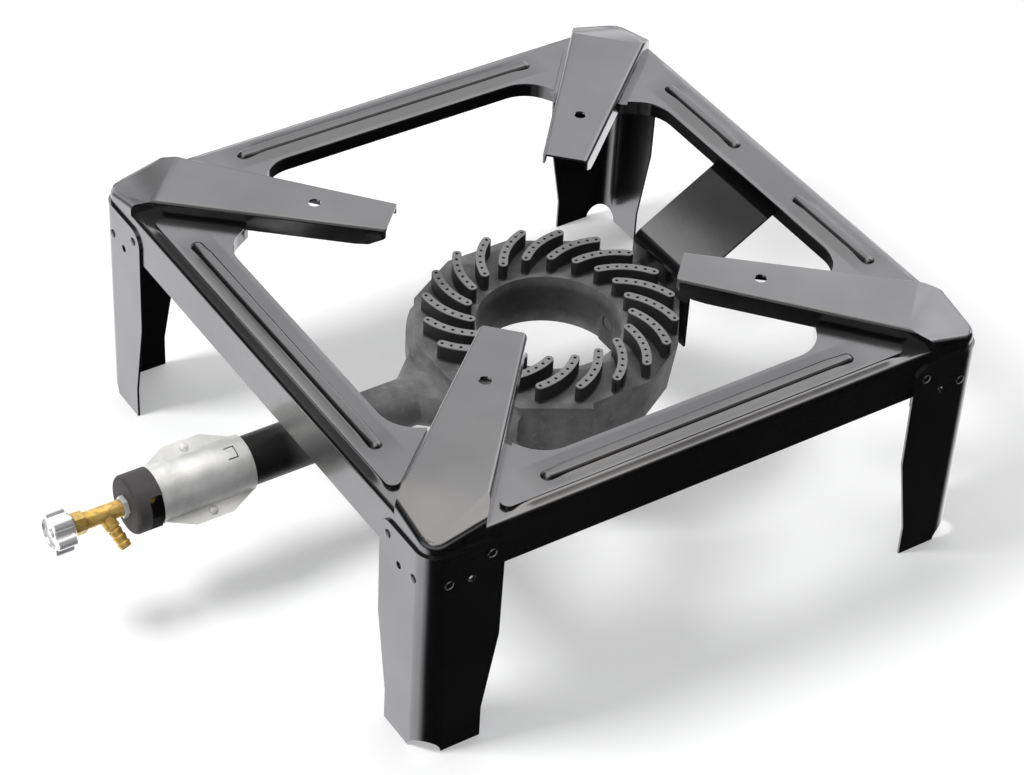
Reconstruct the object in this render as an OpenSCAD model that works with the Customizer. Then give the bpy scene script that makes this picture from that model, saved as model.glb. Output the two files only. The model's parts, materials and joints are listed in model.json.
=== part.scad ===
/* [Frame] */
// Side of the square frame over its skirt
frame_w = 400; // [370:5:430]
// Height of the low ledge round the frame above the floor
ledge_z = 166; // [150:1:185]
// Depth of the skirt below the ledge
skirt_h = 31.5; // [26:0.5:38]
// Thickness of the pressed sheet
sheet_t = 1.5; // [1.2:0.1:1.8]
// Corner radius of the frame in plan
corner_r = 12; // [10:0.5:15]
// Outside radius of the fold between skirt and ledge
fold_r = 3; // [2:0.25:4]
// Width of the low ledge between the fold and the raised panel
ledge_w = 4; // [3:0.5:6]
// Rise of the panel above the ledge
panel_rise = 2.5; // [2:0.25:3.5]
// Side of the square opening
opening_w = 330; // [318:2:340]
// Length of the straight stretch on each side of the opening
opening_straight = 200; // [180:2:206]
// Depth of the turned-down edge round the opening
opening_lip = 10; // [8:0.5:12]
// Corner radius at the ends of each straight stretch
opening_r = 26; // [22:1:30]
// Extra depth of the skirt behind each leg
skirt_tab_h = 8; // [6:0.5:10]

/* [Beads] */
// Length of the raised bead on each rail
bead_l = 226; // [200:2:240]
// Width of a bead
bead_w = 9; // [7:0.5:10]
// Rise of a bead above the panel
bead_rise = 2.5; // [2:0.25:3]
// Distance of a bead from the skirt
bead_in = 19; // [18:0.5:20]
// Gap in the back rail's bead
bead_gap = 62; // [40:2:80]

/* [Pan fingers] */
// Height of the fingers' tops above the ledge
finger_rise = 12.8; // [11:0.2:15]
// Distance of a finger's tip from the middle of the frame
finger_tip_r = 92.6; // [88:0.2:104]
// Width of a finger at its tip
finger_tip_w = 30; // [26:1:34]
// Width of a finger at its crease
finger_root_w = 51; // [46:1:54]
// Distance of the crease from the middle of the frame
crease_r = 238.5; // [232:0.5:244]
// Drop from the fingers' tops to the frame's corner edge
corner_drop = 13.8; // [12:0.2:16]
// Depth of a finger's turned-down sides at its tip
finger_lip = 7.5; // [6:0.5:9]
// Extra depth of those sides a little way back from the tip
finger_lip_more = 6; // [4:0.5:7]
// Gap between a finger's side and the raised panel
finger_gap = 4; // [3:0.5:5]
// Diameter of the hole in each finger
finger_hole_d = 8; // [6:0.5:10]
// Distance of that hole from the tip
finger_hole_in = 50.5; // [44:0.5:60]

/* [Legs] */
// Thickness of a leg's sheet
leg_t = 1.5; // [1.2:0.1:2]
// Width of each leg face at its top
leg_top_w = 51; // [48:0.5:54]
// Width of each leg face at the floor
leg_foot_w = 36; // [30:1:40]
// Height where a leg starts to taper
leg_kink_z = 80; // [60:2:100]
// Distance of a leg's top edge below the ledge
leg_top_drop = 9; // [7:0.5:11]
// Radius of a leg's upper corners
leg_corner_r = 11; // [8:1:13]
// Radius of the arch at a leg's foot
leg_arch_r = 10; // [7:0.5:12]
// Diameter of the round hole through each leg face
leg_hole_d = 5; // [4:0.5:6]
// Diameter of a leg rivet's shank
leg_rivet_d = 3; // [2.5:0.25:3.5]

/* [Burner] */
// Distance of the ring's centre behind the frame's centre
ring_y = 15; // [10:1:20]
// Height of the ring's flat top
plate_z = 107.5; // [105:0.5:110]
// Height of the ring's underside
ring_z0 = 70; // [67:0.5:72]
// Width of the ring over its twelve flats
ring_flats = 173; // [170:1:177]
// Radius of the ring's middle hole at its top
ring_hole_r = 47.5; // [45:0.5:48]
// Wall of the casting
cast_t = 4; // [3:0.25:4.5]
// Number of curved fins
fins = 20; // [16:1:22]
// Height of a fin above the ring's top
fin_h = 12.5; // [10:0.5:14]
// Width of a fin
fin_w = 6; // [5.5:0.25:6.5]
// Radius on which each fin's first port lies
fin_r0 = 53; // [52:0.5:54]
// Radius on which each fin's last port lies
fin_r1 = 80; // [78:0.5:81]
// Angle by which a fin sweeps back from its first port to its last
fin_lead = 21.6; // [18:0.2:24]
// Radius of a fin's curve
fin_arc_r = 48.4; // [42:0.2:60]
// Number of ports in each fin
ports = 7; // [5:1:8]
// Diameter of a port
port_d = 2.2; // [1.6:0.1:2.4]

/* [Neck and air collar] */
// Height of the neck's axis
axis_z = 84; // [83:0.5:86]
// Outside diameter of the neck
neck_d = 32; // [30:0.5:33]
// Bore of the neck
neck_bore_d = 25; // [22:0.5:26]
// Distance of the neck's front face in front of the frame's centre
neck_front = 290; // [284:1:300]
// Thickness of the neck's front wall
front_wall = 9; // [7:0.5:11]
// Length of the thicker nose in front of the air sleeve
nose_l = 18; // [15:0.5:20]
// Diameter of that nose
nose_d = 38; // [37.5:0.25:40]
// Length of the air sleeve
sleeve_l = 63; // [56:1:66]
// Bore of the air sleeve
sleeve_bore_d = 34.8; // [34.2:0.1:35.4]
// Thickness of the air sleeve's sheet
sleeve_t = 0.8; // [0.6:0.1:1]
// Width of the air sleeve's flanges
sleeve_flange_w = 8.5; // [8:0.25:10]
// Angle of the sleeve's split from level
sleeve_turn = 30; // [20:1:40]
// Radial running clearance of the sleeve on the neck
sleeve_fit = 0.08; // [0.05:0.01:0.1]

/* [Gas tap] */
// Outside diameter of the tap body
tap_d = 11; // [10.5:0.25:12]
// Length of the tap body in front of the lock nut
tap_l = 32; // [30:0.5:35]
// Diameter of the threaded outlet
outlet_d = 9.6; // [9:0.2:10.4]
// Length of the hose nipple from the tap's axis
nipple_l = 24.5; // [22:0.5:28]
// Diameter of the nipple's barbs
barb_d = 8.6; // [8:0.1:9]
// Angle of the nipple below level
nipple_drop = 45; // [30:1:60]
// Angle by which the nipple leans back towards the burner
nipple_lean = 15; // [0:1:20]
// Diameter of the valve spindle
spindle_d = 4.4; // [4:0.2:4.6]
// Diameter of the knob over its lobes
knob_d = 30; // [27:0.5:33]
// Length of the knob
knob_l = 15; // [13:0.5:17]
// Number of lobes on the knob
knob_lobes = 6; // [5:1:8]

/* [Hidden] */
$fn = 64;
// Gap left between pieces that seat on each other
seat = 0.1;
// Radial clearance of a shank or thread in its hole
fit = 0.05;
// Amount by which a cut runs past the face it opens
over = 1;
// Steps in a rounded corner and in a small fold
arc_n = 8;
fold_n = 5;

half = frame_w / 2;
panel_z = ledge_z + panel_rise;
finger_z = ledge_z + finger_rise;
skirt_z = ledge_z - skirt_h;
panel_half = half - fold_r - ledge_w;
opening_half = opening_w / 2;
corner_far = (half - corner_r) * sqrt(2) + corner_r;
facet_slope = corner_drop / (corner_far - crease_r);
finger_taper = (finger_root_w - finger_tip_w) / 2 / (crease_r - finger_tip_r);
finger_angle = atan(finger_taper);
leg_in = half + seat;
leg_top_z = ledge_z - leg_top_drop;

function unit(v) = v / norm(v);
function arc(c, r, a0, a1, n) =
    [for (i = [0:n]) let (a = a0 + (a1 - a0) * i / n) c + r * [cos(a), sin(a)]];
// The points of corner p1 rounded by r between its neighbours
function round_corner(p0, p1, p2, r, n) =
    r == 0 ? [p1] :
    let (u = unit(p0 - p1), w = unit(p2 - p1), h = acos(u * w) / 2,
        c = p1 + unit(u + w) * r / sin(h), s = p1 + u * r / tan(h) - c, e = p1 + w * r / tan(h) - c,
        a0 = atan2(s[1], s[0]), turn = sign(s[0] * e[1] - s[1] * e[0]) * (180 - 2 * h))
    arc(c, r, a0, a0 + turn, n);
function round_poly(p, r, n = arc_n) =
    let (m = len(p)) [for (i = [0:m - 1]) each round_corner(p[(i + m - 1) % m], p[i], p[(i + 1) % m], r[i], n)];
// An open path with its inner corners rounded
function round_path(p, r, n = arc_n) =
    let (m = len(p)) [p[0], for (i = [1:m - 2]) each round_corner(p[i - 1], p[i], p[i + 1], r[i], n), p[m - 1]];
function right_of(v) = [v[1], -v[0]];
// The mitred offset of point i of a path, to the right of its direction
function side_point(p, i, d) =
    let (m = len(p), a = unit(p[max(i, 1)] - p[max(i, 1) - 1]), b = unit(p[min(i + 1, m - 1)] - p[min(i + 1, m - 1) - 1]),
        na = right_of(a), nb = right_of(b))
    p[i] + (na + nb) * d / (1 + na * nb);
// The outline of a strip of thickness t along a path
function ribbon(p, t) = concat([for (i = [0:len(p) - 1]) side_point(p, i, t / 2)],
    [for (i = [len(p) - 1:-1:0]) side_point(p, i, -t / 2)]);
// A closed outline grown outward by d; its points run anticlockwise
function grown(p, d) =
    let (m = len(p)) [for (i = [0:m - 1])
        let (na = right_of(unit(p[i] - p[(i + m - 1) % m])), nb = right_of(unit(p[(i + 1) % m] - p[i])))
        p[i] + (na + nb) * d / (1 + na * nb)];
// Half the width of a finger at distance u from the middle
function finger_half(u) = finger_tip_w / 2 + finger_taper * (u - finger_tip_r);
// Where the line beside a finger, d away from its side, crosses the height y in plan
function finger_cross(y, d) =
    let (b = finger_half(0) + d / cos(finger_angle), u = (y * sqrt(2) - b) / (1 + finger_taper))
    [(u - b - finger_taper * u) / sqrt(2), y];

module four_ways() {
    for (k = [0:3]) rotate([0, 0, 90 * k]) children();
}

module at_fingers() {
    for (k = [0:3]) rotate([0, 0, 45 + 90 * k]) children();
}

// Extrudes a profile drawn in Y and Z along X, about x = 0
module along_x(l) {
    rotate([90, 0, 90]) linear_extrude(l, center = true) children();
}

// Turns a shape built on +Z so that it points towards the front, -Y
module forward(y) {
    translate([0, y, axis_z]) rotate([90, 0, 0]) children();
}

/* Pressed frame: each form is drawn whole, and again smaller by the sheet, to hollow it */

module frame_block(e, z0) {
    h = half - e;
    r = corner_r - e;
    f = fold_r - e * 0.9;
    top = ledge_z - e;
    for (a = [0, 90]) rotate([0, 0, a]) along_x(2 * (h - r))
        polygon(concat([[-h, z0], [h, z0]], arc([h - f, top - f], f, 0, 90, fold_n),
            arc([f - h, top - f], f, 90, 180, fold_n)));
    four_ways() translate([h - r, h - r, 0]) rotate_extrude(angle = 90)
        polygon(concat([[0, z0], [r, z0]], arc([r - f, top - f], f, 0, 90, fold_n), [[0, top]]));
}

module outline_block(e, z0, z1) {
    h = half - e;
    r = corner_r - e;
    translate([0, 0, z0]) linear_extrude(z1 - z0) {
        square([2 * h, 2 * (h - r)], center = true);
        square([2 * (h - r), 2 * h], center = true);
        four_ways() translate([h - r, h - r]) circle(r);
    }
}

module panel_block(e, z0) {
    out = panel_half - e;
    deep = opening_half - opening_r - over;
    a = finger_cross(out, finger_gap + e);
    b = finger_cross(deep, finger_gap + e);
    four_ways() translate([0, 0, z0]) linear_extrude(panel_z - e - z0)
        polygon(round_poly([[-b[0], b[1]], b, a, [-a[0], a[1]]], [0, 0, 5, 5]));
}

bead_r = (bead_w * bead_w / 4 + bead_rise * bead_rise) / (2 * bead_rise);

module bead_block(e, x0, x1) {
    r = bead_r - e;
    zc = panel_z + bead_rise - bead_r;
    z0 = zc - panel_rise;
    translate([0, bead_in - half, 0]) {
        translate([(x0 + x1) / 2, 0, 0]) along_x(x1 - x0 - bead_w)
            polygon(concat([[-r, z0], [r, z0]], arc([0, zc], r, 0, 180, 2 * fold_n)));
        for (end = [[x0 + bead_w / 2, 90], [x1 - bead_w / 2, -90]])
            translate([end[0], 0, 0]) rotate([0, 0, end[1]]) rotate_extrude(angle = 180, $fn = 32)
                polygon(concat([[0, z0], [r, z0]], arc([0, zc], r, 0, 90, fold_n)));
    }
}

module bead_blocks(e) {
    for (k = [0, 1, 3]) rotate([0, 0, 90 * k]) bead_block(e, -bead_l / 2, bead_l / 2);
    for (s = [0, 1]) rotate([0, 0, 180]) mirror([s, 0, 0]) bead_block(e, bead_gap / 2, bead_l / 2);
}

module finger_side(e, side, z0) {
    f = fold_r - e * 0.9;
    top = finger_z - e;
    wide = finger_root_w * 1.5;
    long = corner_far - finger_tip_r;
    translate([finger_tip_r, side * finger_tip_w / 2, 0]) rotate([0, 0, side * finger_angle])
        translate([long / 2, 0, 0]) mirror([0, side < 0 ? 1 : 0, 0]) along_x(long * 1.5)
            polygon(concat([[-wide, z0], [-e, z0]], arc([-e - f, top - f], f, 0, 90, fold_n), [[-wide, top]]));
}

module finger_block(e, z0) {
    drop = e * sqrt(1 + facet_slope * facet_slope);
    far = corner_far + over;
    tip = finger_tip_r - e;
    intersection() {
        finger_side(e, 1, z0);
        finger_side(e, -1, z0);
        rotate([90, 0, 0]) linear_extrude(finger_root_w * 2, center = true)
            polygon([[tip, z0], [far, z0], [far, finger_z - drop - facet_slope * (far - crease_r)],
                [crease_r - (drop - e) / facet_slope, finger_z - e], [tip, finger_z - e]]);
    }
}

module finger_blocks(e, z0) {
    intersection() {
        at_fingers() finger_block(e, z0);
        outline_block(e, z0 - over, finger_z + over);
    }
}

// The opening's outline, which meets each finger's sides
nib_u = opening_half * 1.097;
nib = [(nib_u - finger_half(nib_u)) / sqrt(2), (nib_u + finger_half(nib_u)) / sqrt(2)];
opening_quarter = [[opening_straight / 2, opening_half], nib, [nib[1], nib[0]], [opening_half, opening_straight / 2]];
function turned(p, a) = [p[0] * cos(a) + p[1] * sin(a), p[1] * cos(a) - p[0] * sin(a)];
opening_sharp = [for (k = [3:-1:0]) for (i = [3:-1:0]) turned(opening_quarter[i], 90 * k)];
opening_radii = [for (k = [0:3]) for (i = [0:3]) (i == 0 || i == 3) ? opening_r : 0];
opening_line = round_poly(opening_sharp, opening_radii);

module opening_lip_ring() {
    translate([0, 0, panel_z - opening_lip]) linear_extrude(opening_lip + over) difference() {
        polygon(grown(opening_line, sheet_t));
        polygon(opening_line);
    }
}

module opening_cut() {
    low = skirt_z - skirt_tab_h - 2 * over;
    lip_z = panel_z - opening_lip;
    thin = 0.02;
    // All of the opening but the fingers
    translate([0, 0, low]) linear_extrude(finger_z + over - low) difference() {
        polygon(opening_line);
        at_fingers() polygon(round_poly([[finger_tip_r, -finger_tip_w / 2 + thin],
            [corner_far, -finger_half(corner_far) + thin], [corner_far, finger_half(corner_far) - thin],
            [finger_tip_r, finger_tip_w / 2 - thin]], [3, 0, 0, 3]));
    }
    // Below the slanted edges of the fingers' sides
    intersection() {
        translate([0, 0, low]) linear_extrude(finger_z - low) polygon(opening_line);
        at_fingers() rotate([90, 0, 0]) linear_extrude(2 * finger_root_w, center = true)
            polygon([[finger_tip_r - over, low], [corner_far, low], [corner_far, lip_z], [nib_u - 2, lip_z],
                [finger_tip_r + 11, finger_z - finger_lip - finger_lip_more], [finger_tip_r, finger_z - finger_lip],
                [finger_tip_r - over, finger_z - finger_lip]]);
    }
}

// Leg fastening places, as distance from the frame's middle and height
rivet_a = [half - 42, ledge_z - 19];
rivet_b = [half - 13.5, ledge_z - 31];
hole_c = [half - 29, ledge_z - 33];

// Puts a shape, drawn pointing out along +X, at a fastening place on all eight leg faces
module on_leg_faces(place) {
    four_ways() for (s = [-1, 1]) translate([half, s * place[0], place[1]]) children();
}

// Puts a shape at a fastening place on the two faces of the leg in the +X +Y corner
module on_one_leg(place) {
    translate([half, place[0], place[1]]) children();
    mirror([1, -1, 0]) translate([half, place[0], place[1]]) children();
}

module pin_x(r, x0, x1) {
    translate([x0, 0, 0]) rotate([0, 90, 0]) cylinder(x1 - x0, r, r, $fn = 32);
}

rivet_hole_r = leg_rivet_d / 2 + fit;

// Back tongue: from the opening's lip down a slope to the ring's back flat
ring_back = ring_y + ring_flats / 2;
bolt_z = 87.5;
bolt_r = 5;
tongue_w = 64;
tongue_top = [opening_half + sheet_t / 2, panel_z - opening_lip / 2];
tongue_low_y = ring_back + seat + sheet_t / 2;
tongue_path = round_path([[tongue_top[0], panel_z - 0.5], [tongue_top[0], panel_z - 6.5],
    [tongue_low_y, panel_z - 43.5], [tongue_low_y, ring_z0 + 5]], [0, 5, 10, 0]);

// Front tongue: straight down from the lip to a foot on the neck's pad
pad_y = 13 - opening_half;
pad_top = axis_z + neck_d / 2 + 5;
pad_r = 8;
screw_r = 3;
foot_z = pad_top + seat + sheet_t / 2;
front_path = round_path([[-tongue_top[0], tongue_top[1]], [-tongue_top[0], foot_z],
    [pad_y + pad_r, foot_z]], [0, 3, 0]);

module frame_top() {
    low = skirt_z - skirt_tab_h;
    deep = low - over;
    color([0.16, 0.16, 0.17]) {
        difference() {
            union() {
                frame_block(0, low);
                panel_block(0, low + over);
                bead_blocks(0);
                finger_blocks(0, low + over);
            }
            difference() {
                union() {
                    frame_block(sheet_t, deep);
                    panel_block(sheet_t, deep + over);
                    bead_blocks(sheet_t);
                }
                opening_lip_ring();
            }
            finger_blocks(sheet_t, deep + over);
            opening_cut();
            for (a = [0, 90]) rotate([0, 0, a])
                translate([-(half - leg_top_w + over), -half - over, deep])
                    cube([2 * (half - leg_top_w + over), frame_w + 2 * over, skirt_z - deep]);
            at_fingers() translate([finger_tip_r + finger_hole_in, 0, finger_z - 2 * sheet_t])
                cylinder(3 * sheet_t, finger_hole_d / 2, finger_hole_d / 2);
            on_leg_faces(rivet_a) pin_x(rivet_hole_r, -2 * sheet_t, over);
            on_leg_faces(rivet_b) pin_x(rivet_hole_r, -2 * sheet_t, over);
            on_leg_faces(hole_c) pin_x(leg_hole_d / 2, -2 * sheet_t, over);
        }
        difference() {
            along_x(tongue_w) polygon(ribbon(tongue_path, sheet_t));
            translate([0, ring_back, bolt_z]) rotate([-90, 0, 0])
                cylinder(3 * sheet_t, bolt_r + 0.5, bolt_r + 0.5);
        }
        difference() {
            along_x(2.5 * pad_r) polygon(ribbon(front_path, sheet_t));
            translate([0, pad_y, pad_top]) cylinder(3 * sheet_t, screw_r + 0.5, screw_r + 0.5);
        }
    }
}

// One leg, in the +X +Y corner
module leg() {
    h = leg_in;
    r = corner_r + seat;
    top_in = half - leg_top_w;
    face = round_poly([[half - leg_foot_w, 0], [h + 3 * leg_t, 0], [h + 3 * leg_t, leg_top_z], [top_in, leg_top_z],
        [top_in + 1, leg_kink_z]], [0, 0, 0, leg_corner_r, 0]);
    color([0.16, 0.16, 0.17]) difference() {
        intersection() {
            linear_extrude(leg_top_z) difference() {
                union() {
                    square([h + leg_t, h - r]);
                    square([h - r, h + leg_t]);
                    translate([h - r, h - r]) circle(r + leg_t);
                }
                translate([-over, -over]) square([h + over, h - r + over]);
                translate([-over, -over]) square([h - r + over, h + over]);
                translate([h - r, h - r]) circle(r);
            }
            union() {
                rotate([90, 0, 0]) translate([0, 0, -half * 1.1]) linear_extrude(half * 0.3) polygon(face);
                cube([half - corner_r - 2 * over, half - corner_r - 2 * over, 1]);
                mirror([1, -1, 0]) rotate([90, 0, 0]) translate([0, 0, -half * 1.1])
                    linear_extrude(half * 0.3) polygon(face);
            }
        }
        rotate([0, 0, 45]) rotate([0, 90, 0]) cylinder(2 * half, leg_arch_r, leg_arch_r);
        on_one_leg(rivet_a) pin_x(rivet_hole_r, 0, 2 * leg_t);
        on_one_leg(rivet_b) pin_x(rivet_hole_r, 0, 2 * leg_t);
        on_one_leg(hole_c) pin_x(leg_hole_d / 2, 0, 2 * leg_t);
    }
}

module leg_back_right() { leg(); }
module leg_back_left() { mirror([1, 0, 0]) leg(); }
module leg_front_left() { rotate([0, 0, 180]) leg(); }
module leg_front_right() { mirror([0, 1, 0]) leg(); }

// A rivet along +X with a low domed head outside and an upset head inside
module rivet(r, grip, head_r, head_h) {
    rotate([0, 90, 0]) rotate_extrude($fn = 32) polygon(concat(
        [[0, -head_h - grip], [head_r * 0.9, -head_h - grip], [head_r * 0.9, -grip], [r, -grip], [r, 0],
            [head_r, 0]],
        [for (i = [1:fold_n]) [head_r * cos(90 * i / fold_n), head_h * sin(90 * i / fold_n)]]));
}

module leg_rivets() {
    grip = leg_t + sheet_t + 3 * seat;
    color([0.35, 0.35, 0.36]) for (place = [rivet_a, rivet_b])
        on_leg_faces(place) translate([leg_t + 2 * seat, 0, 0]) rivet(leg_rivet_d / 2, grip, leg_rivet_d, 1);
}

/* Burner: one iron casting, hollow from its neck to its fins */

ring_corner_r = ring_flats / 2 / cos(15);
part_z = (plate_z + ring_z0) / 2;
fin_step = 360 / fins;
fin_phase = 2;

// Centre of the circle of radius r through two points, on the right of the way between them
function arc_centre(p, q, r) = (p + q) / 2 + right_of(unit(q - p)) * sqrt(r * r - (q - p) * (q - p) / 4);
fin_p = [fin_r0, 0];
fin_q = fin_r1 * [cos(fin_lead), -sin(fin_lead)];
fin_c = arc_centre(fin_p, fin_q, fin_arc_r);
fin_a0 = atan2(fin_p[1] - fin_c[1], fin_p[0] - fin_c[0]);
fin_a1 = atan2(fin_q[1] - fin_c[1], fin_q[0] - fin_c[0]);

// The points of an arc between its ends
function cap(c, r, a0, a1, n) =
    [for (i = [1:n - 1]) let (a = a0 + (a1 - a0) * i / n) c + r * [cos(a), sin(a)]];
function on_fin(a) = fin_c + fin_arc_r * [cos(a), sin(a)];

// A fin's plan: a bent bar with round ends
module fin_plan(w) {
    turn = sign(fin_a1 - fin_a0) * 180;
    polygon(concat(arc(fin_c, fin_arc_r + w / 2, fin_a0, fin_a1, arc_n),
        cap(on_fin(fin_a1), w / 2, fin_a1, fin_a1 + turn, 6),
        arc(fin_c, fin_arc_r - w / 2, fin_a1, fin_a0, arc_n),
        cap(on_fin(fin_a0), w / 2, fin_a0 - turn, fin_a0, 6)));
}

module at_fins() {
    for (k = [0:fins - 1]) rotate([0, 0, fin_phase + fin_step * k]) children();
}

module fin_bodies() {
    at_fins() translate([0, 0, plate_z - cast_t / 2]) linear_extrude(fin_h + cast_t / 2) fin_plan(fin_w);
}

module fin_channels() {
    at_fins() translate([0, 0, plate_z - cast_t - over]) linear_extrude(fin_h + over) fin_plan(fin_w - 3.2);
}

module fin_ports() {
    at_fins() translate(fin_c) for (i = [0:ports - 1])
        rotate([0, 0, fin_a0 + (fin_a1 - fin_a0) * i / (ports - 1)])
            translate([fin_arc_r, 0, plate_z + fin_h - cast_t - over])
                cylinder(cast_t + 2 * over, port_d / 2, port_d / 2, $fn = 16);
}

module twelve_sided(flats, z0, z1) {
    r = flats / 2 / cos(15);
    translate([0, 0, z0]) rotate([0, 0, 15]) cylinder(z1 - z0, r, r, $fn = 12);
}

// The ring's middle hole, grown by e, narrowest at the mould's parting
module ring_hole(e, z0, z1) {
    r = ring_hole_r + e;
    translate([0, 0, z0]) cylinder(part_z - z0, r + 1, r - 1.5, $fn = 96);
    translate([0, 0, part_z]) cylinder(z1 - part_z, r - 1.5, r, $fn = 96);
}

// Flare from the neck to the ring, smaller by e all round
module funnel(e) {
    near = -ring_flats / 2;
    hull() {
        translate([0, near - 20, axis_z]) rotate([90, 0, 0])
            cylinder(1, neck_d / 2 - 1.5 - e, neck_d / 2 - 1.5 - e, $fn = 32);
        translate([-37 + e, near + 7, ring_z0 + 5 + e]) cube([74 - 2 * e, 14, plate_z - ring_z0 - 17 - 2 * e]);
    }
}

// Fuller wall of the ring on either side of the neck, smaller by e all round
module shoulder(e) {
    r = ring_corner_r + 2.5;
    rim = ring_flats / 2 - 0.5;
    intersection() {
        rotate([0, 0, -138]) rotate_extrude(angle = 96, $fn = 96) polygon([[0, ring_z0 + e], [rim - e, ring_z0 + e],
            [r - e, ring_z0 + 13], [r - e, plate_z - 10], [rim - e, plate_z - 0.5 - e], [0, plate_z - 0.5 - e]]);
        linear_extrude(2 * plate_z) polygon([[0, 0], rim * [cos(-137), sin(-137)], 2 * rim * [cos(-122), sin(-122)],
            2 * rim * [cos(-58), sin(-58)], rim * [cos(-43), sin(-43)]]);
    }
}

nose_y = -neck_front;
sleeve_front_y = nose_y + nose_l;
collar_r = sleeve_bore_d / 2 - sleeve_fit;
sleeve_travel = 20;
collar_back_y = sleeve_front_y + sleeve_l - 4;
window_l = sleeve_l - 8;
outlet_r = outlet_d / 2;

wall_y = ring_y - ring_flats / 2;

module neck_outside() {
    forward(wall_y + 3) cylinder(neck_front + wall_y + 3 - nose_l, neck_d / 2, neck_d / 2);
    forward(collar_back_y) cylinder(collar_back_y - sleeve_front_y + over, collar_r, collar_r);
    forward(sleeve_front_y) rotate_extrude() polygon(concat([[0, 0], [nose_d / 2, 0]],
        arc([nose_d / 2 - 2.5, nose_l - 2.5], 2.5, 0, 90, fold_n), [[0, nose_l]]));
    translate([0, pad_y, axis_z]) cylinder(pad_top - axis_z, pad_r, pad_r);
}

module burner_outside() {
    translate([0, ring_y, 0]) {
        twelve_sided(ring_flats, ring_z0, plate_z);
        shoulder(0);
        funnel(0);
    }
    neck_outside();
}

// Hollow of the neck, the flare and the ring
module burner_hollow() {
    wide = neck_bore_d / 2 + 1;
    difference() {
        union() {
            translate([0, ring_y, 0]) {
                twelve_sided(ring_flats - 2 * cast_t, ring_z0 + cast_t, plate_z - cast_t);
                shoulder(cast_t);
                funnel(cast_t);
            }
            forward(wall_y + 1) cylinder(neck_front + wall_y + 1 - front_wall, neck_bore_d / 2, neck_bore_d / 2);
            forward(nose_y + front_wall + window_l) cylinder(window_l, wide, wide);
        }
        translate([0, ring_y, 0]) {
            ring_hole(cast_t, ring_z0 - over, plate_z + over);
            // Boss that the back bolt goes through
            translate([0, 0, bolt_z]) rotate([-90, 0, 0]) cylinder(ring_flats, 8, 8);
        }
    }
}

// Two air windows and the threaded hole for the tap
module nose_holes() {
    forward(nose_y + front_wall + over) cylinder(front_wall + 2 * over, outlet_r + fit, outlet_r + fit);
    for (s = [-1, 1]) forward(nose_y + front_wall + window_l) linear_extrude(window_l)
        polygon([[0, 0], for (a = [-42:12:42]) s * 2 * nose_d * [cos(a), sin(a)]]);
}

// The ring's middle hole, less the lug round the bolt's end
module middle_hole() {
    difference() {
        ring_hole(0, ring_z0 - over, plate_z + over);
        translate([0, ring_hole_r - 7, bolt_z]) rotate([-90, 0, 0]) cylinder(12, 8, 8);
        translate([-8, ring_hole_r - 7, ring_z0 - 2 * over]) cube([16, 12, bolt_z - ring_z0 + 2 * over]);
    }
}

module burner_casting() {
    color([0.25, 0.25, 0.25]) difference() {
        union() {
            difference() {
                burner_outside();
                burner_hollow();
            }
            translate([0, ring_y, 0]) fin_bodies();
        }
        nose_holes();
        translate([0, ring_y, 0]) {
            middle_hole();
            fin_channels();
            fin_ports();
        }
        translate([0, ring_y, bolt_z]) rotate([-90, 0, 0]) cylinder(ring_flats, bolt_r, bolt_r);
        translate([0, pad_y, axis_z + neck_bore_d / 2 + 1.5]) cylinder(pad_top, screw_r, screw_r);
    }
}

/* Fasteners */

// A hex-headed bolt along +Z, its head above z = 0
module hex_bolt(r, l, flats, head_h) {
    difference() {
        cylinder(head_h, flats / 2 / cos(30), flats / 2 / cos(30), $fn = 6);
        difference() {
            translate([0, 0, head_h / 2]) cylinder(head_h, flats, flats);
            translate([0, 0, head_h / 2]) cylinder(head_h / 2, flats / 2 / cos(30) + 0.8, flats / 2 * 0.94);
        }
    }
    translate([0, 0, -l]) cylinder(l, r - fit, r - fit);
}

washer_t = 2;
washer_y = ring_back + 2 * seat + sheet_t;
module burner_washer() {
    color([0.75, 0.75, 0.74]) translate([0, washer_y, bolt_z]) rotate([-90, 0, 0]) difference() {
        cylinder(washer_t, 2 * bolt_r, 2 * bolt_r);
        translate([0, 0, -over]) cylinder(washer_t + 2 * over, bolt_r + 0.5, bolt_r + 0.5);
    }
}

module burner_bolt() {
    color([0.7, 0.7, 0.68]) translate([0, washer_y + washer_t + seat, bolt_z]) rotate([-90, 0, 0])
        hex_bolt(bolt_r, washer_t + 2 * sheet_t + ring_flats / 2 - ring_hole_r - 1, 17, 6.4);
}

module neck_screw() {
    color([0.7, 0.7, 0.68]) translate([0, pad_y, foot_z + sheet_t / 2 + seat])
        hex_bolt(screw_r, sheet_t + 6, 10, 4);
}

/* Air sleeve: two half shells riveted together by their flanges */

rivet_r = 1.6;
flange_mid = collar_r + sleeve_t + sleeve_flange_w * 0.45;

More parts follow.
